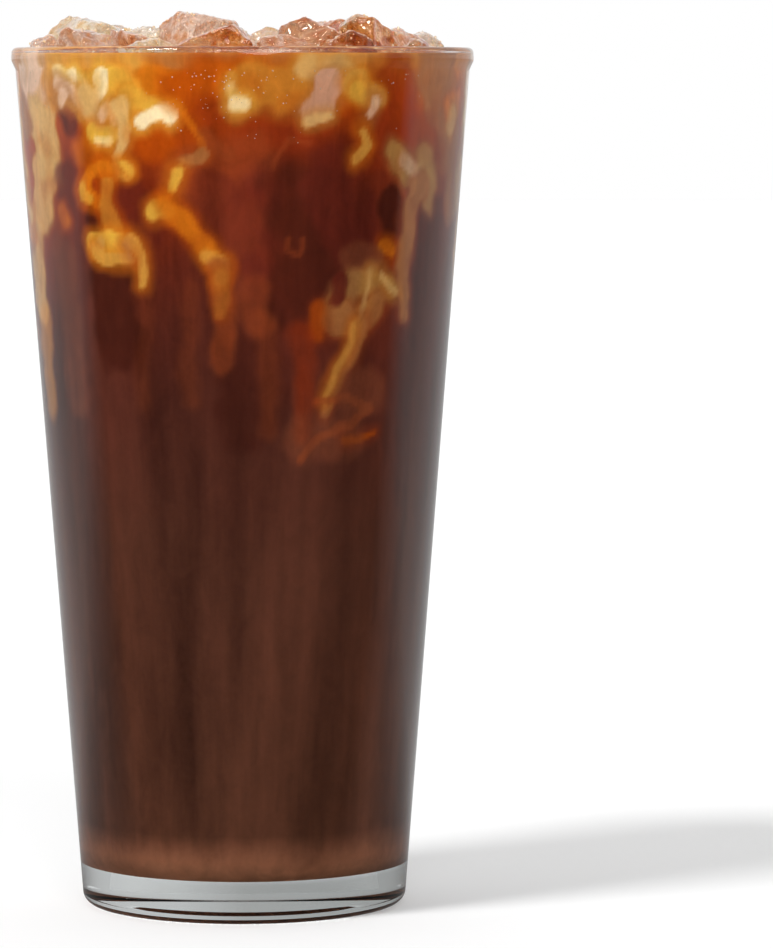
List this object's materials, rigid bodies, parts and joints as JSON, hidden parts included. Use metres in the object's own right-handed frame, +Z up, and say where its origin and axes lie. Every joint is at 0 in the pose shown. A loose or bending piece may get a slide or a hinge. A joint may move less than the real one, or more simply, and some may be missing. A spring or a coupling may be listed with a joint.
{
  "type": "iced coffee",
  "caption": "Tall tapered glass tumbler of black coffee with swirls of cream, filled to just under its beaded rim and heaped with melting lumps of ice.",
  "frame": {"origin": "centre of the ring that the glass stands on, at table height", "axes": "+Z up along the tumbler's axis, -Y towards the front of the heap as shown, +X to the right"},
  "size_m": [0.0898, 0.0898, 0.174],
  "materials": {
    "glass": "clear polished",
    "coffee": "dark brown liquid with amber and cream swirls",
    "ice": "wet, cloudy, stained with coffee and cream"
  },
  "bodies": {
    "root": {"coffee": "coffee", "ice_01": "ice", "ice_02": "ice", "ice_03": "ice", "ice_04": "ice", "ice_05": "ice", "ice_06": "ice", "ice_07": "ice", "ice_08": "ice", "ice_09": "ice", "ice_10": "ice", "ice_11": "ice", "ice_12": "ice", "ice_13": "ice", "ice_14": "ice", "ice_15": "ice", "ice_16": "ice", "ice_17": "ice", "ice_18": "ice", "ice_19": "ice", "ice_20": "ice", "ice_21": "ice", "ice_22": "ice", "ice_23": "ice", "ice_24": "ice", "ice_25": "ice", "ice_26": "ice", "ice_27": "ice", "ice_28": "ice", "ice_29": "ice", "ice_30": "ice", "tumbler": "glass"}
  },
  "joints": []
}
